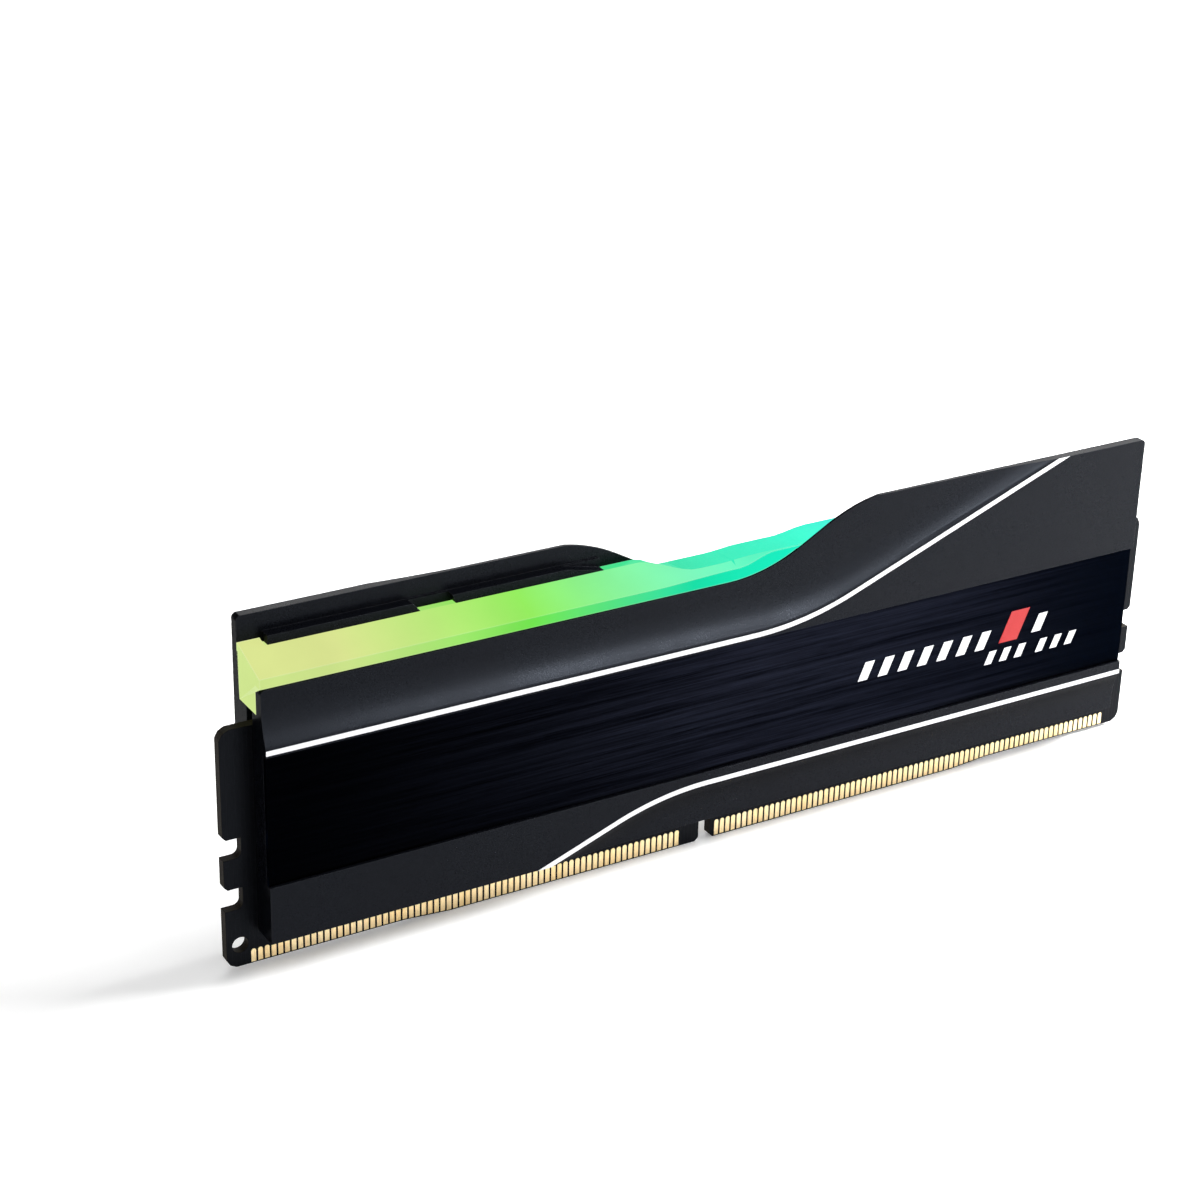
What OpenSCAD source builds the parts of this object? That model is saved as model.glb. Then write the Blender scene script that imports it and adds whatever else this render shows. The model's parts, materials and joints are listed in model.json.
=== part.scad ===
// Desktop memory module with two finned-edge heat covers and a glowing top bar.
// Frame: X along the length, Y through the thickness, Z up. The origin is under the
// middle of the board at its lowest edge. The front cover faces -Y.

/* [Board] */
// Length of the circuit board
board_l = 133.35; // [130:0.05:137]
// Height of the circuit board
board_h = 31.25; // [30:0.05:33]
// Thickness of the circuit board
board_t = 1.27; // [1.2:0.01:1.4]
// How far the edge lifts at both ends of the contact row
end_lift = 0.45; // [0.2:0.05:0.6]

/* [Contacts] */
// Distance between neighbouring contacts
pitch = 0.85; // [0.8:0.01:0.9]
// Width of one contact
pad_w = 0.6; // [0.4:0.05:0.65]
// Height of the rounded top of the contacts above the board's lowest edge
pad_top = 2.35; // [2:0.05:2.6]
// Contacts in the left row, seen from the front
left_pads = 69; // [60:1:69]
// Contacts in the right row, seen from the front
right_pads = 75; // [60:1:75]

/* [Covers] */
// Length of both covers
cover_l = 125.15; // [120:0.05:126]
// Thickness across both covers
total_t = 8.56; // [8:0.02:9]
// Height of the front cover's high shoulder
high_z = 44; // [42.5:0.1:45]
// Height of the front cover's low shoulder
low_z = 36.5; // [36:0.1:36.8]
// How much lower the back cover's top outline lies
back_drop = 1; // [0:0.1:1.5]
// Height of the covers' lower edge
foot_z = 4.55; // [4.2:0.05:5]
// Depth of the hollow sweep along the covers' upper edge
cove_d = 1.05; // [0.6:0.05:1.1]

/* [Strip] */
// Lower edge of the brushed strip's channel
strip_z0 = 11.95; // [11.8:0.05:12.5]
// Upper edge of the brushed strip's channel
strip_z1 = 28.6; // [28:0.05:28.65]
// How far the strip lies below the cover's face
strip_inset = 0.4; // [0.2:0.05:0.5]
// Width of the white accent lines
line_w = 0.62; // [0.4:0.02:0.7]

/* [Light bar] */
// Underside of the light bar
bar_z0 = 33; // [32.5:0.1:33.5]
// Height of the light bar's ridge where the covers hook over it
bar_ridge = 39.45; // [39:0.05:39.5]

/* [Hidden] */

eps = 0.01;                 // overshoot of cutters
gap = 0.05;                 // assembly clearance between neighbours
lip = 0.02;                 // hairline clearance under the hooks and beside the walls
half_l = board_l / 2;
half_t = board_t / 2;
line_t = 0.04;              // the accent lines stand this far out of the covers
face_y = total_t / 2 - line_t; // outer face of a cover
end_x = cover_l / 2;

// ---- board
hole_r = 1;                 // tooling hole in the lower left corner
hole_in = 1.75;             // its centre from the board's end
hole_z = 3.3;
notch_in = 2.25;            // depth of the four latch notches
notch_r = 0.8;              // inner lower corner of a notch
low_notch = [8.1, 10.85];
high_notch = [14.8, 17.35];
bow_flat = 22.95;           // raised stretch of the edge at each end
bow_ramp = 28.9;            // where the raised stretch has come down
corner_c = 1.2;
first_pad = 3.35;           // first contact from the board's end
second_row = 67.1;          // first contact of the right row from the left end
key_x0 = 64.45;             // key slot, from the left end
key_x1 = 66.1;
key_top = 2.8;
key_c = 0.5;
pad_t = 0.04;
pad_rise = 0.2;             // bare board under a contact

// ---- cover outline
shoulder_x = -1.2;          // where the low shoulder starts to climb
shoulder_r = 21;
shoulder_a = 29.2;          // slope of the climb
crest_r = 21.5;             // round from the climb to the high shoulder
crest_a = 9;                // slope left where that round meets the level top
turn_z = high_z - crest_r * (cos(crest_a) - cos(shoulder_a));
climb_run = (turn_z - low_z - shoulder_r * (1 - cos(shoulder_a))) / tan(shoulder_a);
climb_x = shoulder_x + shoulder_r * sin(shoulder_a) + climb_run; // end of the straight climb
crest_x = climb_x + crest_r * (sin(shoulder_a) - sin(crest_a));  // corner of the high shoulder
top_corner_r = 0.6;

// ---- accent lines
upper_z = 29.2;             // upper line: level, then climbing to the right
upper_x = 2.3;
upper_r = 41;
upper_a = 20.66;
lower_z = 10.45;            // lower line: level, then falling to the left
lower_x = -3.7;
lower_r = 38;
lower_a = 19.8;

// ---- hollow sweeps along the cover's edges
cove_w = 5;                 // height over which the upper sweep reaches its depth
cove_end_d = 0.75;          // its depth under the high shoulder
foot_cove_w = 3.6;
foot_cove_d = 0.9;
cove_steps = 10;

// ---- inside of a cover
rib_y = 0.75;               // ribs and rims end just short of the board
pocket_y = 2.45;            // roof of the chip pocket
pocket_z0 = 5.9;
end_rib = 1.2;
low_wall_y = 1.85;          // inner face of the low wall beside the light bar
high_wall_y = 2.65;         // inner face of the high wall beside the light bar
top_wall_y = 3;             // inner face of the high wall above its step
rabbet_z = bar_ridge - 0.55; // height of the step, which takes the light bar's edge
edge_y = top_wall_y - lip;  // edge of the light bar beside a high wall
hook_y = 1.5;               // reach of the hooks over the light bar
hook_z1 = 40.6;
short_hook = [end_x - 22.2, end_x - 3.1];
long_hook = [end_x - 46.7, end_x - 26.8];

// ---- strip, badge and label
channel_d = 0.92;
strip_t = 0.42;
print_t = 0.03;
strip_y = face_y - strip_inset;

// ---- chips
chip_h = 1;
chip_z = 16;

// Rise of a path that runs level to x0, turns up by angle a on radius r, then runs straight.
function bend(x, x0, r, a) =
    let (d = x - x0, e = r * sin(a))
    d <= 0 ? 0 :
    d < e ? r - sqrt(r * r - d * d) :
    r * (1 - cos(a)) + (d - e) * tan(a);

// Smooth step from 0 at a to 1 at b.
function ramp(x, a, b) =
    let (t = max(0, min(1, (x - a) / (b - a))))
    t * t * (3 - 2 * t);

// Fall of the high shoulder at distance d to the left of its corner.
function crest_fall(d) =
    crest_r * (cos(crest_a) - sqrt(1 - pow(sin(crest_a) + d / crest_r, 2)));

// Top outline of a cover, seen from its own outer face.
function cover_top(x, drop) =
    x >= crest_x ? high_z - drop :
    x >= climb_x ? high_z - crest_fall(crest_x - x) - drop :
    low_z + bend(x, shoulder_x, shoulder_r, shoulder_a) - drop;

function upper_line(x) = upper_z + bend(x, upper_x, upper_r, upper_a);
function lower_line(x) = lower_z - bend(-x, -lower_x, lower_r, lower_a);
function upper_slope(x) = (upper_line(x + eps) - upper_line(x - eps)) / (2 * eps);
function lower_slope(x) = (lower_line(x + eps) - lower_line(x - eps)) / (2 * eps);
// Half the line's width measured straight up, on a sloping stretch.
function half_line(slope) = line_w / 2 * sqrt(1 + slope * slope);

// Height of the board's lower edge at x.
function board_edge(x) =
    let (d = half_l - abs(x))
    end_lift * max(0, min(1, (bow_ramp - d) / (bow_ramp - bow_flat)));

// Draws a flat outline, given in X and Z, from depth y0 to depth y1.
module upright(y0, y1) {
    translate([0, y1, 0])
        rotate([90, 0, 0])
            linear_extrude(height = y1 - y0) children();
}

// Solid through cross-sections given in Y and Z at the stations xs.
module loft(xs, sections) {
    n = len(sections[0]);
    last = len(xs) - 1;
    points = [for (i = [0:last]) for (p = sections[i]) [xs[i], p[0], p[1]]];
    sides = [
        for (i = [0:last - 1])
            for (k = [0:n - 1])
                let (a = i * n + k, b = i * n + (k + 1) % n)
                each [[a, b, b + n], [a, b + n, a + n]]
    ];
    start_cap = [[for (k = [n - 1:-1:0]) k]];
    end_cap = [[for (k = [0:n - 1]) last * n + k]];
    polyhedron(points = points, faces = concat(sides, start_cap, end_cap), convexity = 8);
}

// The same thing on the other side: half a turn about the vertical axis.
module back_side() {
    rotate([0, 0, 180]) children();
}

// ---------------------------------------------------------------- board

// Latch notch at the left end: square, with a round inner lower corner.
module notch_2d(z) {
    mouth = 0.45;
    translate([-half_l, 0]) {
        translate([-1, z[0]]) square([1 + notch_in - notch_r, z[1] - z[0]]);
        translate([-1, z[0] + notch_r]) square([1 + notch_in, z[1] - z[0] - notch_r]);
        translate([notch_in - notch_r, z[0] + notch_r]) circle(r = notch_r, $fn = 48);
        polygon([[-1, z[1] - eps], [mouth, z[1] - eps], [0, z[1] + mouth], [-1, z[1] + mouth]]);
    }
}

module board_outline_2d() {
    c = corner_c;
    l = half_l;
    k0 = key_x0 - half_l;
    k1 = key_x1 - half_l;
    polygon([
        [-l, end_lift + c], [-l + 0.35 * c, end_lift + 0.35 * c], [-l + c, end_lift],
        [-l + bow_flat, end_lift], [-l + bow_ramp, 0],
        [k0 - key_c, 0], [k0, key_c], [k0, key_top], [k1, key_top], [k1, key_c], [k1 + key_c, 0],
        [l - bow_ramp, 0], [l - bow_flat, end_lift],
        [l - c, end_lift], [l - 0.35 * c, end_lift + 0.35 * c], [l, end_lift + c],
        [l, board_h - c], [l - 0.35 * c, board_h - 0.35 * c], [l - c, board_h],
        [-l + c, board_h], [-l + 0.35 * c, board_h - 0.35 * c], [-l, board_h - c]
    ]);
}

module board() {
    color([0.07, 0.075, 0.085])
        difference() {
            upright(-half_t, half_t) difference() {
                board_outline_2d();
                notch_2d(low_notch);
                notch_2d(high_notch);
                mirror([1, 0]) notch_2d(low_notch);
                mirror([1, 0]) notch_2d(high_notch);
            }
            translate([hole_in - half_l, 0, hole_z])
                rotate([90, 0, 0])
                    cylinder(r = hole_r, h = 2 * board_t, center = true, $fn = 64);
        }
}

// One contact with a round top, standing over the board's edge at x.
module contact_2d(x) {
    foot = board_edge(x) + pad_rise;
    r = pad_w / 2;
    translate([x - r, foot]) square([pad_w, pad_top - r - foot]);
    translate([x, pad_top - r]) circle(r = r, $fn = 24);
}

module contact_row(first, count) {
    for (i = [0:count - 1])
        upright(-half_t - pad_t, -half_t) contact_2d(first - half_l + i * pitch);
}

module contacts_front() {
    color([0.86, 0.68, 0.34]) {
        contact_row(first_pad, left_pads);
        contact_row(second_row, right_pads);
    }
}

module contacts_back() {
    color([0.86, 0.68, 0.34])
        mirror([0, 1, 0]) {
            contact_row(first_pad, left_pads);
            contact_row(second_row, right_pads);
        }
}

// ---------------------------------------------------------------- covers

module cover_outline_2d(drop) {
    r = top_corner_r;
    step = 0.9;
    arc = [0:15:90];
    climb = [for (x = [crest_x - eps:-step:shoulder_x]) [x, cover_top(x, drop)]];
    right_top = [for (a = arc) [end_x - r + r * cos(a), high_z - drop - r + r * sin(a)]];
    left_top = [for (a = arc) [-end_x + r - r * sin(a), low_z - drop - r + r * cos(a)]];
    polygon(concat(
        [[-end_x, foot_z], [end_x, foot_z]],
        right_top, [[crest_x, high_z - drop]], climb, left_top
    ));
}

// Bands of constant width along the two lines.
line_steps = 16;

module upper_line_2d() {
    turn = upper_r * sin(upper_a);
    xs = concat([-end_x], [for (i = [0:line_steps]) upper_x + i * turn / line_steps], [end_x]);
    top = [for (x = xs) [x, upper_line(x) + half_line(upper_slope(x))]];
    under = [for (i = [len(xs) - 1:-1:0]) [xs[i], upper_line(xs[i]) - half_line(upper_slope(xs[i]))]];
    polygon(concat(under, top));
}

module lower_line_2d() {
    turn = lower_r * sin(lower_a);
    xs = concat([-end_x], [for (i = [line_steps:-1:0]) lower_x - i * turn / line_steps], [end_x]);
    top = [for (x = xs) [x, lower_line(x) + half_line(lower_slope(x))]];
    under = [for (i = [len(xs) - 1:-1:0]) [xs[i], lower_line(xs[i]) - half_line(lower_slope(xs[i]))]];
    polygon(concat(under, top));
}

// Depth of a hollow sweep at distance d from its line: steep at first, level at width w.
function hollow(d, w, depth) = depth * (1 - pow(1 - min(1, d / w), 2));

// Cutter for the hollow sweep above the upper line.
module upper_cove() {
    out_y = -face_y - 1;
    top = 56;
    xs = concat([-end_x - 1, -40, -20], [for (x = [-2:3:52]) x]);
    sections = [
        for (x = xs)
            let (z0 = upper_line(x) + half_line(upper_slope(x)),
                 depth = cove_d - (cove_d - cove_end_d) * ramp(x, 2, 26))
            concat(
                [[out_y, z0], [out_y, top], [-face_y + depth, top]],
                [for (i = [cove_steps:-1:0])
                    let (d = cove_w * i / cove_steps)
                    [-face_y + hollow(d, cove_w, depth), z0 + d]]
            )
    ];
    loft(xs, sections);
}

// Cutter for the hollow sweep below the lower line.
module lower_cove() {
    out_y = -face_y - 1;
    bottom = -4;
    xs = concat([for (x = [-30:2.5:-2.5]) x], [0, 20, 40, end_x + 1]);
    sections = [
        for (x = xs)
            let (z0 = lower_line(x) - half_line(lower_slope(x)))
            concat(
                [[out_y, bottom], [out_y, z0]],
                [for (i = [0:cove_steps])
                    let (d = foot_cove_w * i / cove_steps)
                    [-face_y + hollow(d, foot_cove_w, foot_cove_d), z0 - d]],
                [[-face_y + foot_cove_d, bottom]]
            )
    ];
    loft(xs, sections);
}

// Hooks on the high wall that hold the light bar down.
module hooks() {
    slant = 1;              // the short hook's sloping end
    tail = 5.2;             // the long hook's taper
    z0 = bar_ridge + lip;
    a = short_hook;
    b = long_hook;
    upright(-high_wall_y - gap, -hook_y) {
        polygon([[a[0], z0], [a[1], z0], [a[1], hook_z1], [a[0] + slant, hook_z1]]);
        polygon([[b[0], z0], [b[1], z0], [b[1] + slant / 2, hook_z1], [b[0] + tail, hook_z1]]);
    }
}

module cover_cavity() {
    // chip pocket
    upright(-pocket_y, 0) translate([-end_x + end_rib, pocket_z0])
        square([cover_l - 2 * end_rib, bar_z0 - pocket_z0]);
    // light bar seat: the low wall on the left, the high wall on the right
    upright(-low_wall_y, 0) translate([-end_x - 1, bar_z0 - gap])
        square([end_x + 1 + eps, 20]);
    upright(-high_wall_y, 0) translate([0, bar_z0 - gap])
        square([end_x + 1, 20]);
    upright(-top_wall_y, 0) translate([0, rabbet_z])
        square([end_x + 1, 20]);
}

module cover(drop) {
    difference() {
        upright(-face_y, -rib_y) cover_outline_2d(drop);
        cover_cavity();
        upright(-face_y - 1, -face_y + channel_d)
            translate([-end_x - 1, strip_z0]) square([cover_l + 2, strip_z1 - strip_z0]);
        upper_cove();
        lower_cove();
    }
    intersection() {
        hooks();
        upright(-face_y, 0) cover_outline_2d(drop);
    }
    // wall behind the hooks, between the two inner steps
    upright(-top_wall_y - gap, -high_wall_y)
        translate([long_hook[0], bar_ridge - gap])
            square([short_hook[1] - long_hook[0], hook_z1 - bar_ridge + gap]);
}

module front_cover() {
    color([0.21, 0.215, 0.235]) cover(0);
}

module back_cover() {
    color([0.21, 0.215, 0.235]) back_side() cover(back_drop);
}

// ---------------------------------------------------------------- strip, lines, badge, label

module strip() {
    upright(-strip_y, -strip_y + strip_t)
        translate([-end_x + gap, strip_z0 + gap])
            square([cover_l - 2 * gap, strip_z1 - strip_z0 - 2 * gap]);
}

module strip_tape() {
    edge = 0.6;
    upright(-strip_y + strip_t, -face_y + channel_d)
        translate([-end_x + edge, strip_z0 + edge])
            square([cover_l - 2 * edge, strip_z1 - strip_z0 - 2 * edge]);
}

module accent_lines(drop) {
    upright(-face_y - line_t, -face_y) intersection() {
        union() {
            upper_line_2d();
            lower_line_2d();
        }
        cover_outline_2d(drop);
    }
}

// Leaning bar of the badge, with its lower left corner at x.
module leaning_bar_2d(x, z0, w, h) {
    lean = 0.42;
    polygon([[x, z0], [x + w, z0], [x + w + lean * h, z0 + h], [x + lean * h, z0 + h]]);
}

// The badge is two rows of white bars, with a wide red one that rises above the upper row.
badge_x = 18.8;             // left end of the upper row
badge_z = 18.9;             // bottom of the upper row
upper_bars = 7;
upper_pitch = 3.1;
upper_h = 2.5;              // height of the upper row
accent_x = badge_x + upper_bars * upper_pitch + 0.8;
accent_w = 3;
bar_w = 1.45;
second_x = 39.2;            // left end of the lower row
second_pitch = 2.45;
second_z = 16.5;
second_w = 1.15;
second_h = 1.8;
word_gap = 1.1;             // added in the middle of the lower row

module badge_bars() {
    upright(-strip_y - print_t, -strip_y) {
        for (i = [0:upper_bars - 1])
            leaning_bar_2d(badge_x + i * upper_pitch, badge_z, bar_w, upper_h);
        leaning_bar_2d(accent_x + accent_w + 2.4, badge_z + 0.7, bar_w, upper_h);
        for (i = [0:5])
            leaning_bar_2d(second_x + i * second_pitch + (i > 2 ? word_gap : 0), second_z, second_w, second_h);
    }
}

module badge_accent() {
    upright(-strip_y - print_t, -strip_y)
        leaning_bar_2d(accent_x, badge_z + 0.3, accent_w, 4.2);
}

module front_strip() { color([0.03, 0.03, 0.04]) strip(); }
module back_strip() { color([0.03, 0.03, 0.04]) back_side() strip(); }
module front_strip_tape() { color([0.8, 0.8, 0.75]) strip_tape(); }
module back_strip_tape() { color([0.8, 0.8, 0.75]) back_side() strip_tape(); }
module front_accent_lines() { color([0.93, 0.93, 0.93]) accent_lines(0); }
module back_accent_lines() { color([0.93, 0.93, 0.93]) back_side() accent_lines(back_drop); }
module front_badge_bars() { color([0.95, 0.95, 0.95]) badge_bars(); }
module back_badge_bars() { color([0.95, 0.95, 0.95]) back_side() badge_bars(); }
module front_badge_accent() { color([0.85, 0.1, 0.1]) badge_accent(); }
module back_badge_accent() { color([0.85, 0.1, 0.1]) back_side() badge_accent(); }

module back_label() {
    r = 0.8;
    color([0.16, 0.16, 0.17]) back_side()
        upright(-strip_y - 2 * print_t, -strip_y) translate([-52, 14.2]) hull() {
            for (x = [r, 36 - r])
                for (z = [r, 12 - r])
                    translate([x, z]) circle(r = r, $fn = 32);
        }
}

// ---------------------------------------------------------------- light bar

// Heights and depths of the light bar's edges along x. The front edge is low on the
// left, where the front cover is low; the rear edge mirrors it on the right.
rim_y = 3;                  // overhang on a low rim
stem_low = 1.8;             // stem beside a low wall
stem_high = 2.6;            // stem beside a high wall
end_block = 2.8;            // length of the raised rear corner at each end
rear_z = bar_ridge - 0.15;  // top of the bar's edge beside a high wall
hide_front = 9.2;           // where the front cover's rim passes the bar's top
hide_back = -9.7;           // where the back cover's rim passes the bar's top

function front_rim_z(x) = 37.8 + 0.35 * ramp(x, -12, 0) + 1.25 * ramp(x, 0.5, 5.6) - 0.1 * ramp(x, 9, 11);
function back_rim_z(x) = rear_z - 1.3 * ramp(x, -11, -7.4) + 0.3 * ramp(x, -1, 4) + 0.6 * ramp(x, 9, 14);
function crest_y(x) = 1.6 - 3.1 * ramp(x, -11.2, -4.5) - 1.3 * ramp(x, 0, 5.6) + 1.2 * ramp(x, 8, 14);
function crest_z(x) = bar_ridge - 0.95 * ramp(x, -11.2, -5) + 0.95 * ramp(x, -1, 5.6);

function bar_section(x) =
    let (over_front = x < hide_front,
         over_back = x > hide_back,
         sf = x < 0.3 ? stem_low : stem_high,
         sb = x < -0.3 ? stem_high : stem_low,
         yf = over_front ? rim_y : edge_y,
         yb = over_back ? rim_y : edge_y,
         under_f = over_front ? cover_top(x, 0) + gap : rabbet_z + gap,
         under_b = over_back ? cover_top(-x, back_drop) + gap : rabbet_z + gap)
    [
        [-sf, bar_z0],
        [-sf, under_f],
        [-yf, under_f],
        [-yf, front_rim_z(x)],
        [crest_y(x), crest_z(x)],
        [yb, back_rim_z(x)],
        [yb, under_b],
        [sb, under_b],
        [sb, bar_z0]
    ];

module light_bar() {
    side = 0.25;            // half the width of a step in the section
    xs = concat(
        [-end_x, -40, -20, -12, -11, hide_back - side, hide_back + side],
        [for (x = [-8.5:1.05:-1.1]) x],
        [0.3 - side, 0.3 + side],
        [for (x = [1.6:0.9:8.8]) x],
        [hide_front, hide_front + 2 * side, 11, 12.5, 14, 30, end_x]
    );
    color([0.75, 0.95, 0.5]) {
        loft(xs, [for (x = xs) bar_section(x)]);
        // the ends keep their full height beside the hooks
        for (turn = [0, 180])
            rotate([0, 0, turn])
                translate([-end_x, 0, 0]) rotate([90, 0, 90]) linear_extrude(height = end_block)
                    polygon([[1.55, bar_ridge - lip], [edge_y, rear_z], [edge_y, bar_ridge + 0.4]]);
    }
}

// ---------------------------------------------------------------- board parts

// Package with a bevelled top, standing on the front of the board, centred at x and z.
module package(x, z, w, h, tall) {
    bevel = min(0.1, tall / 5);
    translate([x, -half_t, z]) rotate([90, 0, 0]) {
        translate([-w / 2, -h / 2, 0]) cube([w, h, tall - bevel]);
        translate([-w / 2 + bevel, -h / 2 + bevel, 0]) cube([w - 2 * bevel, h - 2 * bevel, tall]);
    }
}

chip_xs = [for (side = [-1, 1]) for (i = [0:3]) side * (14.6 + i * 13)];

module memory_chips() {
    color([0.12, 0.12, 0.13])
        for (x = chip_xs) package(x, chip_z, 9, 11, chip_h);
}

module power_chip() {
    color([0.12, 0.12, 0.13]) package(0, 21.5, 5, 5, 0.8);
}

module power_coils() {
    color([0.3, 0.3, 0.31])
        for (x = [-4.4, 0, 4.4]) package(x, 27, 3.2, 2.5, 1.2);
}

module hub_chip() {
    color([0.12, 0.12, 0.13]) package(0.6, 13.5, 3, 2, 0.75);
}

module light_chip() {
    color([0.12, 0.12, 0.13]) mirror([0, 1, 0]) package(8, 27, 3, 3, 0.8);
}

led_count = 10;
module leds() {
    span = 112;
    color([0.92, 0.92, 0.88])
        for (i = [0:led_count - 1])
            package(-span / 2 + i * span / (led_count - 1), 30.45, 2, 1.2, 0.65);
}

module input_fuse() {
    color([0.25, 0.4, 0.3]) package(-5.4, 20.4, 1.6, 0.8, 0.5);
}

module bulk_capacitors() {
    color([0.55, 0.45, 0.35])
        for (x = [-7.6, 7.6])
            for (z = [24.4, 26.2, 28])
                package(x, z, 1.6, 0.8, 0.8);
}

module bypass_capacitors() {
    color([0.55, 0.45, 0.35])
        for (x = chip_xs)
            for (s = [-3, -1, 1, 3])
                package(x + s, 24.2, 1, 0.5, 0.5);
}

module resistor_arrays() {
    color([0.2, 0.2, 0.2])
        for (x = chip_xs)
            for (s = [-3.3, -1.1, 1.1, 3.3])
                package(x + s, 7.6, 1.6, 0.8, 0.35);
}

// ---------------------------------------------------------------- pads

module chip_thermal_pad() {
    top = half_t + chip_h;
    color([0.55, 0.58, 0.62])
        for (side = [-1, 1])
            upright(-pocket_y, -top)
                translate([side * 34.1 - 24.5, 10.2]) square([49, 11.6]);
}

module power_thermal_pad() {
    color([0.55, 0.58, 0.62])
        upright(-pocket_y, -half_t - 0.8) translate([-2.5, 19]) square([5, 5]);
}

module back_foam_pad() {
    color([0.3, 0.31, 0.33])
        upright(half_t, pocket_y) translate([-56, 9.5]) square([112, 13]);
}

board();
contacts_front();
contacts_back();
front_cover();
back_cover();
front_strip();
back_strip();
front_strip_tape();
back_strip_tape();
front_accent_lines();
back_accent_lines();
front_badge_bars();
back_badge_bars();
front_badge_accent();
back_badge_accent();
back_label();
light_bar();
memory_chips();
power_chip();
power_coils();
hub_chip();
light_chip();
leds();
input_fuse();
bulk_capacitors();
bypass_capacitors();
resistor_arrays();
chip_thermal_pad();
power_thermal_pad();
back_foam_pad();
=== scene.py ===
import json
import math

import bpy
from mathutils import Matrix, Vector

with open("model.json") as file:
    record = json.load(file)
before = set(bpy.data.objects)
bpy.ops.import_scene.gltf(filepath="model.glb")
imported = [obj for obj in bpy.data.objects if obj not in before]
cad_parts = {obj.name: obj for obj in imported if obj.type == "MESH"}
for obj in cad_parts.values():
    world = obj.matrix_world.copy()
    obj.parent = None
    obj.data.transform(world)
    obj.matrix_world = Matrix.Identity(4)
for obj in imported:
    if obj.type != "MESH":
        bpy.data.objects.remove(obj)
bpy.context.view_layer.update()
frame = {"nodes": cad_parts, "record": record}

NODES = frame["nodes"]
MM = 0.001

# Camera: direction and distance from the point it looks at, and how far it leans.
TARGET = Vector((-17.3, 0, 36.5)) * MM
AZIMUTH = math.radians(-31.4)
ELEVATION = math.radians(24.75)
DISTANCE = 321 * MM
LEAN = math.radians(1.5)
LENS = 81.3
SENSOR = 36

# Studio: the point the soft boxes look at and the floor's half side, in metres, then strengths.
MIDDLE = Vector((0, 0, 0.02))
FLOOR_REACH = 3.0
FLOOR_GLOW = 0.22
SKY_LOW = 0.06
SKY_HIGH = 0.3

# Edges, in mm: radii of the rounded ones, and how close two points are to count as one.
COVER_EDGE = 0.12
BOARD_EDGE = 0.06
BAR_EDGE = 0.08
SAME_POINT = 0.0005

# Angles in degrees.
ALL_SMOOTH = 180  # every edge is shaded smooth
FACET = 14  # edges that turn more than this stay sharp
FLAT = 0.6  # faces that turn less than this become one

# Lengths within the looks, in mm.
WORN_EDGE = 0.22
LAMINATE_LAYER = 0.16
TRACE_PITCH = 0.55
LED_PITCH = 112 / 9
# Painted reflection on the strip: where its colour is brightest and how far the brightness fades.
REFLECTION_X = 12
REFLECTION_REACH = 52

# The hues along the light bar: place in mm, colour of its slope, colour of its front and top.
BAR_HUES = [
    (-52, (0.70, 0.77, 0.28), (0.60, 0.76, 0.25)),
    (-28, (0.30, 0.86, 0.11), (0.16, 0.79, 0.07)),
    (-6, (0.20, 0.93, 0.50), (0.0, 0.73, 0.38)),
    (12, (0.02, 0.93, 0.60), (0.0, 0.92, 0.60)),
    (38, (0.0, 0.55, 0.87), (0.0, 0.48, 0.83)),
    (63, (0.13, 0.15, 0.93), (0.09, 0.11, 0.88)),
]


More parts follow.
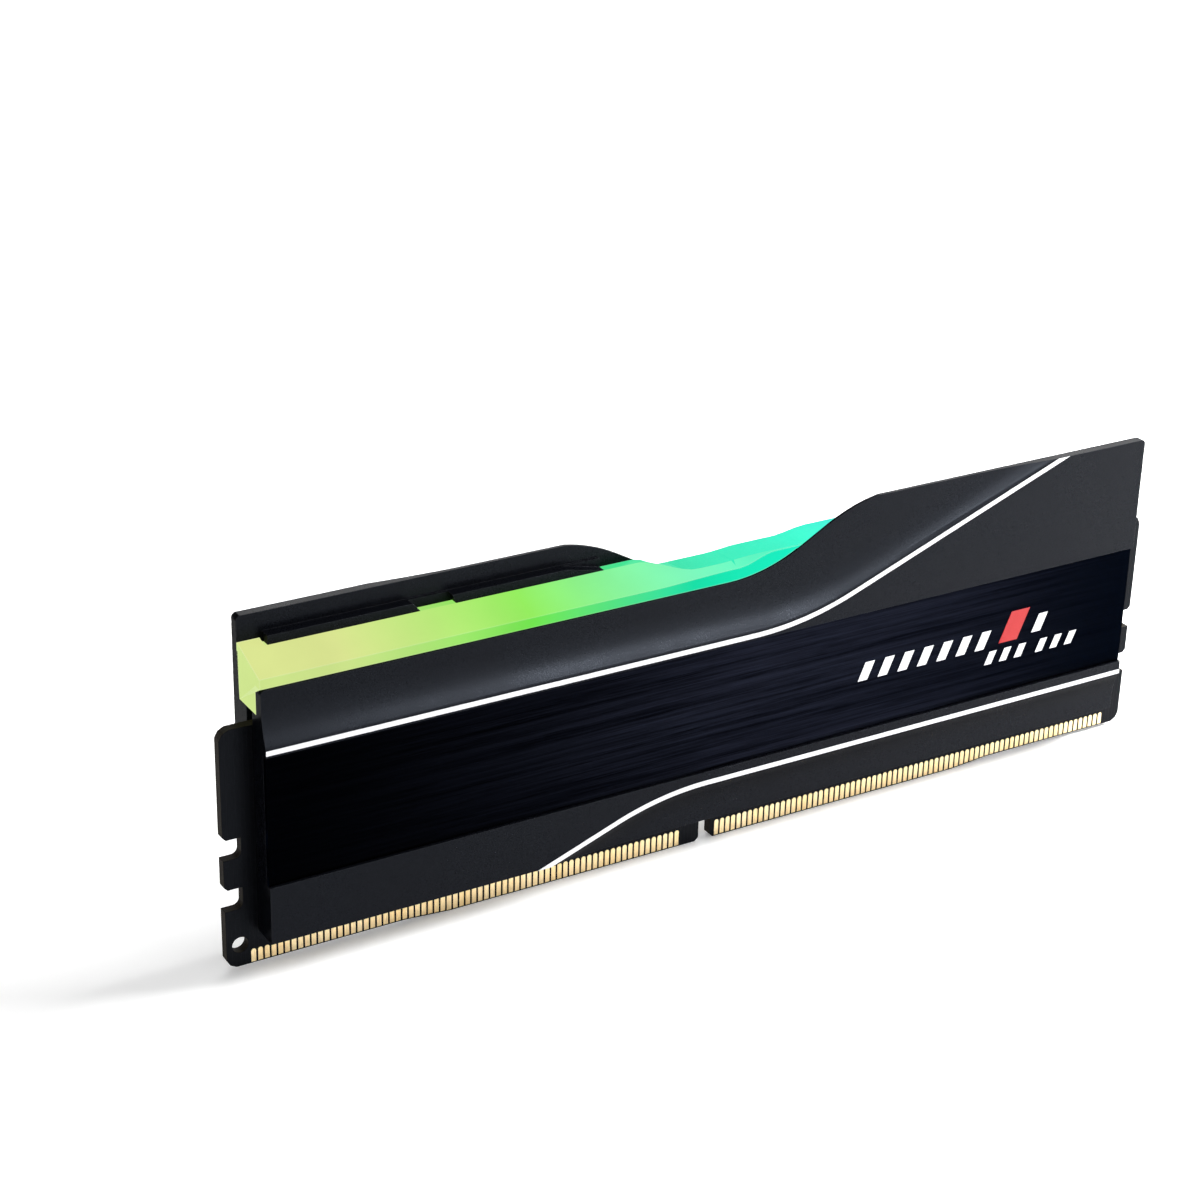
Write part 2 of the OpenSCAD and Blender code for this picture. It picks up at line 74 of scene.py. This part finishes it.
class Look:
    """Builds one material's node tree with short calls."""

    def __init__(self, name, **sockets):
        self.material = bpy.data.materials.new(name)
        self.material.use_nodes = True
        self.tree = self.material.node_tree
        self.shader = self.tree.nodes["Principled BSDF"]
        for socket, value in sockets.items():
            self.shader.inputs[socket.replace("_", " ")].default_value = value
        place = self.tree.nodes.new("ShaderNodeTexCoord").outputs["Object"]
        self.mm = self.vector("SCALE", place, scale=1 / MM)

    def node(self, kind, out=0, settings=None, **sockets):
        """Adds a node; sockets are given by index as i0, i1 or by name with _ for a space."""
        node = self.tree.nodes.new(kind)
        for key, value in (settings or {}).items():
            setattr(node, key, value)
        for key, value in sockets.items():
            slot = int(key[1:]) if key[0] == "i" and key[1:].isdigit() else key.replace("_", " ")
            self.put(node.inputs[slot], value)
        return node.outputs[out]

    def put(self, socket, value):
        if isinstance(value, bpy.types.NodeSocket):
            self.tree.links.new(value, socket)
        else:
            socket.default_value = value

    def vector(self, operation, first, second=None, scale=None):
        sockets = {"i0": first}
        if second is not None:
            sockets["i1"] = second
        if scale is not None:
            sockets["Scale"] = scale
        return self.node("ShaderNodeVectorMath", settings={"operation": operation}, **sockets)

    def maths(self, operation, first, second=0.0):
        return self.node("ShaderNodeMath", settings={"operation": operation}, i0=first, i1=second)

    def axes(self, value):
        """The X, Y and Z of a vector, by name."""
        return self.node("ShaderNodeSeparateXYZ", i0=value).node.outputs

    def normal(self):
        return self.node("ShaderNodeNewGeometry", out="Normal")

    def noise(self, scale, detail=3.0, stretch=(1, 1, 1), roughness=0.5):
        """Noise whose scale is in cells per millimetre; stretch multiplies it along X, Y and Z."""
        place = self.vector("MULTIPLY", self.mm, stretch)
        return self.node("ShaderNodeTexNoise", Vector=place, Scale=scale, Detail=detail, Roughness=roughness)

    def spread(self, value, low, high, start=0.3, end=0.7, curve="LINEAR"):
        """Maps value from start..end to low..high."""
        names = {"From_Min": start, "From_Max": end, "To_Min": low, "To_Max": high}
        return self.node("ShaderNodeMapRange", settings={"interpolation_type": curve}, Value=value, **names)

    def mix(self, factor, first, second):
        node = self.tree.nodes.new("ShaderNodeMix")
        node.data_type = "RGBA"
        self.put(node.inputs[0], factor)
        self.put(node.inputs[6], rgba(first))
        self.put(node.inputs[7], rgba(second))
        return node.outputs[2]

    def bump(self, height, depth_mm, strength=1.0):
        return self.node("ShaderNodeBump", Height=height, Distance=depth_mm * MM, Strength=strength)

    def set(self, **sockets):
        for socket, value in sockets.items():
            self.put(self.shader.inputs[socket.replace("_", " ")], value)
        return self


def rgba(colour):
    if isinstance(colour, (tuple, list)) and len(colour) == 3:
        return (*colour, 1.0)
    return colour


def edge_mask(look):
    """1 on the outer edges of the piece, 0 away from them."""
    rounded = look.node("ShaderNodeBevel", settings={"samples": 4}, Radius=WORN_EDGE * MM)
    settings = {"operation": "DOT_PRODUCT"}
    along = look.node("ShaderNodeVectorMath", out="Value", settings=settings, i0=rounded, i1=look.normal())
    return look.spread(along, 1.0, 0.0, 0.86, 0.995)


# ---------------------------------------------------------------- materials


def cover_metal():
    """Dark coating with a fine grain, slightly rubbed along its edges, with a painted reflection in its
    sheen, which is set by the way each face turns.
    """
    look = Look("cover_coating", Specular_Tint=(0.73, 0.82, 1.0, 1))
    grain = look.noise(5.5, 4.0, roughness=0.65)
    cloud = look.noise(0.12, 3.0)
    worn = look.maths("MULTIPLY", edge_mask(look), look.spread(look.noise(0.5, 4.0), 0.2, 1.0))
    tone = look.mix(look.spread(grain, 0, 1), (0.0012, 0.0014, 0.0021), (0.0038, 0.0043, 0.0062))
    tone = look.mix(look.spread(cloud, 0.0, 0.35), tone, (0.0014, 0.0016, 0.0024))
    tone = look.mix(look.maths("MULTIPLY", worn, 0.4), tone, (0.03, 0.03, 0.034))
    rough = look.maths("ADD", look.spread(grain, 0.25, 0.35), look.spread(cloud, -0.03, 0.03))
    # The sheen strength is painted reflection and shade, set by the way each face turns.
    look.set(Base_Color=tone, Roughness=rough, Specular_IOR_Level=painted_sheen_by_facing(look))
    return look.set(Normal=look.bump(grain, 0.012, 0.7)).material


def painted_sheen_by_facing(look):
    """Painted reflection: the coating's sheen is set by the way a face turns, most on faces that lean
    upward, little on undersides, level tops and ends.
    """
    facing = look.axes(look.normal())
    endward = look.maths("ABSOLUTE", facing["X"])
    upward = look.spread(facing["Z"], 0.025, 0.17, -0.3, 0.4)
    not_level = look.spread(facing["Z"], 1.0, 0.12, 0.5, 0.9)
    not_end = look.spread(endward, 1.0, 0.15, 0.5, 0.9)
    return look.maths("MULTIPLY", look.maths("MULTIPLY", upward, not_level), not_end)


def brushed_strip():
    """Black anodised sheet, brushed lengthwise and bluish, with a painted reflection that brightens its
    colour near the middle and fades toward its ends.
    """
    look = Look("brushed_black", Metallic=1.0, Specular_Tint=(0.52, 0.55, 0.64, 1))
    hair = look.noise(9.0, 5.0, stretch=(0.012, 1, 1), roughness=0.7)
    streak = look.noise(1.6, 3.0, stretch=(0.012, 1, 1))
    cloud = look.noise(0.03, 2.0, stretch=(1, 1, 2))
    lines = look.maths("ADD", look.maths("MULTIPLY", hair, 0.6), look.maths("MULTIPLY", streak, 0.4))
    tone = look.mix(look.spread(lines, 0, 1, 0.4, 0.62), (0.0001, 0.0001, 0.0002), (0.0031, 0.0036, 0.006))
    tone = look.mix(look.spread(cloud, 0.0, 0.3), tone, (0.0005, 0.0006, 0.001))
    # Painted reflection: the strip's colour is scaled brighter near the middle and darker toward the ends.
    tone = look.vector("SCALE", tone, scale=painted_strip_reflection(look))
    rough = look.spread(hair, 0.27, 0.48)
    return look.set(Base_Color=tone, Roughness=rough, Normal=look.bump(lines, 0.006, 0.8)).material


def painted_strip_reflection(look):
    """Painted reflection along X: scales the strip's colour, most at 12 mm and fading more slowly to the
    left.
    """
    right = look.maths("SUBTRACT", look.axes(look.mm)["X"], REFLECTION_X)
    left = look.maths("MULTIPLY", right, -0.72)
    away = look.maths("MAXIMUM", right, left)
    return look.spread(away, 2.9, 0.12, 0.0, REFLECTION_REACH, "SMOOTHSTEP")


def circuit_board():
    """Black solder mask over faint traces; the cut edges show the layers of the laminate."""
    look = Look("solder_mask", Specular_IOR_Level=0.085, Specular_Tint=(0.7, 0.8, 1.0, 1))
    cut = look.spread(look.maths("ABSOLUTE", look.axes(look.normal())["Y"]), 1.0, 0.0, 0.3, 0.7)
    across = look.axes(look.mm)["Y"]
    layers = look.maths("SINE", look.maths("MULTIPLY", across, 2 * math.pi / LAMINATE_LAYER))
    weave = look.noise(6.0, 3.0, stretch=(1, 0.3, 1))
    traces = look.node("ShaderNodeTexBrick", out="Fac", Vector=turned(look), Scale=1.0, Mortar_Size=0.06,
                       Mortar_Smooth=0.3, Brick_Width=7.0, Row_Height=TRACE_PITCH)
    mask = look.mix(look.spread(weave, 0, 1), (0.0006, 0.0006, 0.0009), (0.0014, 0.0015, 0.002))
    mask = look.mix(look.maths("MULTIPLY", traces, 0.5), mask, (0.003, 0.0031, 0.004))
    edge = look.mix(look.spread(layers, 0, 1, 0.2, 0.9), (0.014, 0.012, 0.009), (0.05, 0.038, 0.022))
    edge = look.mix(look.spread(weave, 0.0, 0.6), edge, (0.016, 0.014, 0.012))
    tone = look.mix(cut, mask, edge)
    rough = look.maths("ADD", look.maths("MULTIPLY", cut, 0.3), look.spread(weave, 0.36, 0.46))
    height = look.maths("ADD", traces, look.maths("MULTIPLY", weave, 0.3))
    return look.set(Base_Color=tone, Roughness=rough, Normal=look.bump(height, 0.012, 0.5)).material


def turned(look):
    """Places on the upright face as a flat pattern: Z along the rows, X across them."""
    axes = look.axes(look.mm)
    return look.node("ShaderNodeCombineXYZ", i0=axes["Z"], i1=axes["X"])


def gold_contacts():
    """Gold plating with fine upright insertion marks, and a slight change of tone between contacts."""
    look = Look("gold_plating", Metallic=1.0)
    marks = look.noise(14.0, 3.0, stretch=(1, 1, 0.06))
    patch = look.noise(0.35, 2.0, stretch=(1, 1, 0.1))
    tone = look.mix(look.spread(patch, 0, 1), (0.96, 0.72, 0.36), (1.0, 0.82, 0.5))
    tone = look.mix(look.spread(marks, 0.0, 0.2), tone, (0.68, 0.48, 0.22))
    rough = look.spread(marks, 0.2, 0.36)
    return look.set(Base_Color=tone, Roughness=rough, Normal=look.bump(marks, 0.004, 0.4)).material


def print_paint(name, colour, shade):
    """Screen-printed paint: slightly uneven, with the grain of what lies under it."""
    look = Look(name, Specular_IOR_Level=0.4)
    grain = look.noise(6.0, 3.0)
    cloud = look.noise(0.4, 2.0)
    tone = look.mix(look.spread(cloud, 0.0, 0.5), colour, shade)
    rough = look.spread(grain, 0.42, 0.6)
    return look.set(Base_Color=tone, Roughness=rough, Normal=look.bump(grain, 0.006, 0.4)).material


def label_film():
    """Satin dark film with a fine grain."""
    look = Look("label_film", Specular_IOR_Level=0.2)
    grain = look.noise(9.0, 2.0)
    cloud = look.noise(0.15, 3.0)
    tone = look.mix(look.spread(cloud, 0, 1), (0.018, 0.018, 0.02), (0.03, 0.03, 0.033))
    rough = look.spread(grain, 0.3, 0.42)
    return look.set(Base_Color=tone, Roughness=rough, Normal=look.bump(cloud, 0.05, 0.5)).material


def bar_glow():
    """Diffuser lit from inside: hues run along it, deeper on its front and top, with painted highlights
    along its rims.
    """
    look = Look("lit_diffuser", Base_Color=(0.003, 0.008, 0.004, 1), Specular_IOR_Level=0.02)
    along = look.axes(look.mm)["X"]
    share = look.spread(along, 0.0, 1.0, BAR_HUES[0][0], BAR_HUES[-1][0])
    sloped, plain = [bar_ramp(look, share, column) for column in (1, 2)]
    tone = look.mix(bar_slope(look), plain, sloped)
    # Painted highlight: a lighter glow along the bar's edges.
    tone = look.mix(look.maths("MULTIPLY", edge_mask(look), 0.25), tone, (0.93, 1.0, 0.78))
    lamps = look.maths("COSINE", look.maths("MULTIPLY", along, 2 * math.pi / LED_PITCH))
    cloud = look.spread(look.noise(0.16, 3.0), 0.97, 1.02)
    brightness = look.maths("MULTIPLY", cloud, look.spread(lamps, 0.98, 1.01, -1, 1))
    tone = look.vector("SCALE", tone, scale=brightness)
    grain = look.noise(4.0, 2.0)
    look.set(Emission_Color=tone, Emission_Strength=1.0, Roughness=look.spread(grain, 0.38, 0.5))
    return look.set(Normal=look.bump(grain, 0.004, 0.4)).material


def bar_slope(look):
    """1 where the bar leans to the front or well to the back, 0 on its upright faces and its level top."""
    rearward = look.axes(look.normal())["Y"]
    to_front = look.spread(rearward, 1.0, 0.0, -0.21, -0.13)
    to_back = look.spread(rearward, 0.0, 1.0, 0.24, 0.3)
    not_upright = look.spread(look.maths("ABSOLUTE", rearward), 1.0, 0.0, 0.7, 0.95)
    return look.maths("MULTIPLY", look.maths("MAXIMUM", to_front, to_back), not_upright)


def bar_ramp(look, share, column):
    """The light bar's hues of one column, as a ramp over its length."""
    ramp = look.node("ShaderNodeValToRGB", Fac=share)
    stops = ramp.node.color_ramp.elements
    first, last = BAR_HUES[0][0], BAR_HUES[-1][0]
    while len(stops) < len(BAR_HUES):
        stops.new(0.5)
    for stop, row in zip(stops, BAR_HUES):
        stop.position = (row[0] - first) / (last - first)
    for stop, row in zip(stops, BAR_HUES):
        stop.color = rgba(row[column])
    return ramp


def moulded(name, dark, light, rough=(0.5, 0.7), grain_mm=0.12, depth_mm=0.006):
    """Moulded resin, ceramic or pad: two close tones in a fine grain."""
    look = Look(name)
    grain = look.noise(1 / grain_mm, 3.0, roughness=0.6)
    cloud = look.noise(0.3, 3.0)
    tone = look.mix(look.spread(grain, 0, 1), dark, light)
    tone = look.mix(look.spread(cloud, 0.0, 0.35), tone, dark)
    roughness = look.spread(grain, rough[0], rough[1])
    return look.set(Base_Color=tone, Roughness=roughness, Normal=look.bump(grain, depth_mm, 0.6)).material


def led_lens():
    """Cream lens over a white case."""
    look = Look("led_lens", Roughness=0.2, Coat_Weight=0.5)
    cloud = look.noise(1.5, 2.0)
    tone = look.mix(look.spread(cloud, 0, 1), (0.78, 0.76, 0.62), (0.9, 0.9, 0.84))
    return look.set(Base_Color=tone, Normal=look.bump(cloud, 0.01, 0.3)).material


def make_looks():
    """One look for each material slot of the record."""
    return {
        "circuit_board": circuit_board(),
        "gold_contacts": gold_contacts(),
        "cover_metal": cover_metal(),
        "brushed_strip": brushed_strip(),
        "adhesive_tape": moulded("adhesive_film", (0.62, 0.6, 0.54), (0.76, 0.75, 0.7), (0.4, 0.6)),
        "white_paint": print_paint("white_print", (0.76, 0.76, 0.78), (0.7, 0.7, 0.72)),
        "red_paint": print_paint("red_print", (0.4, 0.002, 0.003), (0.33, 0.0015, 0.002)),
        "label_film": label_film(),
        "light_bar_diffuser": bar_glow(),
        "chip_resin": moulded("chip_resin", (0.012, 0.012, 0.013), (0.024, 0.024, 0.026)),
        "coil_body": moulded("pressed_ferrite", (0.06, 0.06, 0.063), (0.11, 0.11, 0.115), (0.5, 0.65), 0.2),
        "led_body": led_lens(),
        "fuse_body": moulded("fuse_resin", (0.03, 0.13, 0.06), (0.05, 0.2, 0.09), (0.35, 0.5)),
        "capacitor_ceramic": moulded(
            "capacitor_ceramic", (0.20, 0.13, 0.075), (0.33, 0.23, 0.14), (0.3, 0.45),
        ),
        "resistor_body": moulded("resistor_glaze", (0.012, 0.012, 0.013), (0.03, 0.03, 0.03), (0.25, 0.4)),
        "thermal_pad": moulded("thermal_pad", (0.22, 0.27, 0.33), (0.34, 0.4, 0.47), (0.7, 0.85), 0.4, 0.03),
        "foam": moulded("closed_foam", (0.02, 0.021, 0.023), (0.07, 0.072, 0.075), (0.8, 0.95), 0.5, 0.08),
    }


def dress(looks):
    """Gives every CAD node the look of its material slot in the record."""
    for part in frame["record"]["subparts"]:
        node = NODES[part["node"]]
        look = looks[part["material_slot"]]
        for place in range(len(node.data.materials)):
            node.data.materials[place] = look


# ---------------------------------------------------------------- edges


def smoothing_group(name, sharp_deg):
    """Joins a mesh's doubled points and smooths it across every edge that turns less than sharp_deg."""
    group = bpy.data.node_groups.new(name, "GeometryNodeTree")
    group.interface.new_socket("Geometry", in_out="INPUT", socket_type="NodeSocketGeometry")
    group.interface.new_socket("Geometry", in_out="OUTPUT", socket_type="NodeSocketGeometry")
    joined = group.nodes.new("GeometryNodeMergeByDistance")
    joined.inputs["Distance"].default_value = SAME_POINT * MM
    faces = group.nodes.new("GeometryNodeSetShadeSmooth")
    faces.domain = "FACE"
    edges = group.nodes.new("GeometryNodeSetShadeSmooth")
    edges.domain = "EDGE"
    angle = group.nodes.new("GeometryNodeInputMeshEdgeAngle")
    below = group.nodes.new("FunctionNodeCompare")
    below.operation = "LESS_THAN"
    below.inputs[1].default_value = math.radians(sharp_deg)
    group.links.new(angle.outputs[0], below.inputs[0])
    group.links.new(below.outputs[0], edges.inputs["Shade Smooth"])
    chain = [group.nodes.new("NodeGroupInput"), joined, faces, edges, group.nodes.new("NodeGroupOutput")]
    for here, after in zip(chain, chain[1:]):
        group.links.new(here.outputs[0], after.inputs[0])
    return group


def soften(name, width_mm, group, bevel_deg=30):
    """Rounds a CAD node's edges sharper than bevel_deg with modifiers and leaves its mesh as it is."""
    node = NODES[name]
    node.modifiers.new("join", "NODES").node_group = group
    flat = node.modifiers.new("flat", "DECIMATE")
    flat.decimate_type = "DISSOLVE"
    flat.angle_limit = math.radians(FLAT)
    bevel = node.modifiers.new("round", "BEVEL")
    bevel.width = width_mm * MM
    bevel.segments = 2
    bevel.limit_method = "ANGLE"
    bevel.angle_limit = math.radians(bevel_deg)
    bevel.use_clamp_overlap = True
    bevel.miter_outer = "MITER_ARC"
    weigh = node.modifiers.new("shade", "WEIGHTED_NORMAL")
    weigh.weight = 60
    weigh.keep_sharp = True


# ---------------------------------------------------------------- stage


def make_camera():
    back = Vector((
        math.sin(AZIMUTH) * math.cos(ELEVATION),
        -math.cos(AZIMUTH) * math.cos(ELEVATION),
        math.sin(ELEVATION),
    ))
    data = bpy.data.cameras.new("camera")
    data.lens = LENS
    data.sensor_width = SENSOR
    data.clip_start = 0.01
    camera = bpy.data.objects.new("camera", data)
    bpy.context.scene.collection.objects.link(camera)
    level = back.cross(Vector((0, 0, -1))).normalized()
    above = back.cross(level)
    right = level * math.cos(LEAN) + above * math.sin(LEAN)
    up = back.cross(right)
    camera.matrix_world = matrix_from(right, up, back, TARGET + back * DISTANCE)
    bpy.context.scene.camera = camera


def matrix_from(right, up, back, place):
    rows = [(right[i], up[i], back[i], place[i]) for i in range(3)]
    return Matrix((*rows, (0, 0, 0, 1)))


def area_light(name, place, size, power):
    """A soft box at place, in metres, that faces the object; its power is in watts."""
    data = bpy.data.lights.new(name, "AREA")
    data.shape = "RECTANGLE"
    data.size, data.size_y = size
    data.energy = power
    light = bpy.data.objects.new(name, data)
    bpy.context.scene.collection.objects.link(light)
    light.location = place
    light.rotation_mode = "QUATERNION"
    light.rotation_quaternion = (MIDDLE - Vector(place)).to_track_quat("-Z", "Y")


def make_lights():
    """Soft boxes: most of the light comes from the right and from behind, so the left stays dark."""
    area_light("top_box", (0.0, 0.1, 1.1), (1.6, 1.2), 2.4)
    area_light("left_box", (-1.0, -0.7, 0.6), (0.9, 0.8), 1.2)
    area_light("right_box", (1.05, -0.15, 0.3), (0.5, 0.5), 6)
    area_light("near_box", (0.3, -0.05, 0.2), (0.16, 0.16), 3)
    area_light("front_box", (0.376, -0.706, 0.11), (0.1, 0.12), 2)
    area_light("rear_box", (0.7, 1.0, 0.55), (0.9, 0.3), 8)


def make_world():
    """Soft light that is bright overhead and dim at the horizon."""
    world = bpy.data.worlds.new("studio")
    world.use_nodes = True
    tree = world.node_tree
    place = tree.nodes.new("ShaderNodeTexCoord")
    split = tree.nodes.new("ShaderNodeSeparateXYZ")
    height = tree.nodes.new("ShaderNodeMapRange")
    tree.links.new(place.outputs["Generated"], split.inputs[0])
    tree.links.new(split.outputs["Z"], height.inputs["Value"])
    height.inputs["From Min"].default_value = -0.05
    height.inputs["From Max"].default_value = 0.9
    height.inputs["To Min"].default_value = SKY_LOW
    height.inputs["To Max"].default_value = SKY_HIGH
    tree.links.new(height.outputs[0], tree.nodes["Background"].inputs["Strength"])
    tree.nodes["Background"].inputs["Color"].default_value = (1, 1, 1, 1)
    bpy.context.scene.world = world


def floor_look():
    """Plain pale surface with a faint glow of its own, which keeps the shadows light."""
    look = Look("pale_floor", Roughness=0.7, Specular_IOR_Level=0.2)
    cloud = look.noise(0.004, 2.0)
    tone = look.mix(look.spread(cloud, 0, 1), (0.92, 0.92, 0.92), (0.95, 0.95, 0.95))
    return look.set(Base_Color=tone, Emission_Color=(1, 1, 1, 1), Emission_Strength=FLOOR_GLOW).material


def make_floor():
    side = FLOOR_REACH
    corners = [(-side, -side, 0), (side, -side, 0), (side, side, 0), (-side, side, 0)]
    mesh = bpy.data.meshes.new("floor")
    mesh.from_pydata(corners, [], [(0, 1, 2, 3)])
    mesh.materials.append(floor_look())
    floor = bpy.data.objects.new("floor", mesh)
    bpy.context.scene.collection.objects.link(floor)


make_camera()
dress(make_looks())
rounded = smoothing_group("join_and_smooth", ALL_SMOOTH)
soften("front_cover", COVER_EDGE, rounded)
soften("back_cover", COVER_EDGE, rounded)
soften("board", BOARD_EDGE, rounded)
soften("light_bar", BAR_EDGE, smoothing_group("join_and_keep_facets", FACET), bevel_deg=25)
make_world()
make_lights()
make_floor()
bpy.context.scene.view_settings.view_transform = "Standard"
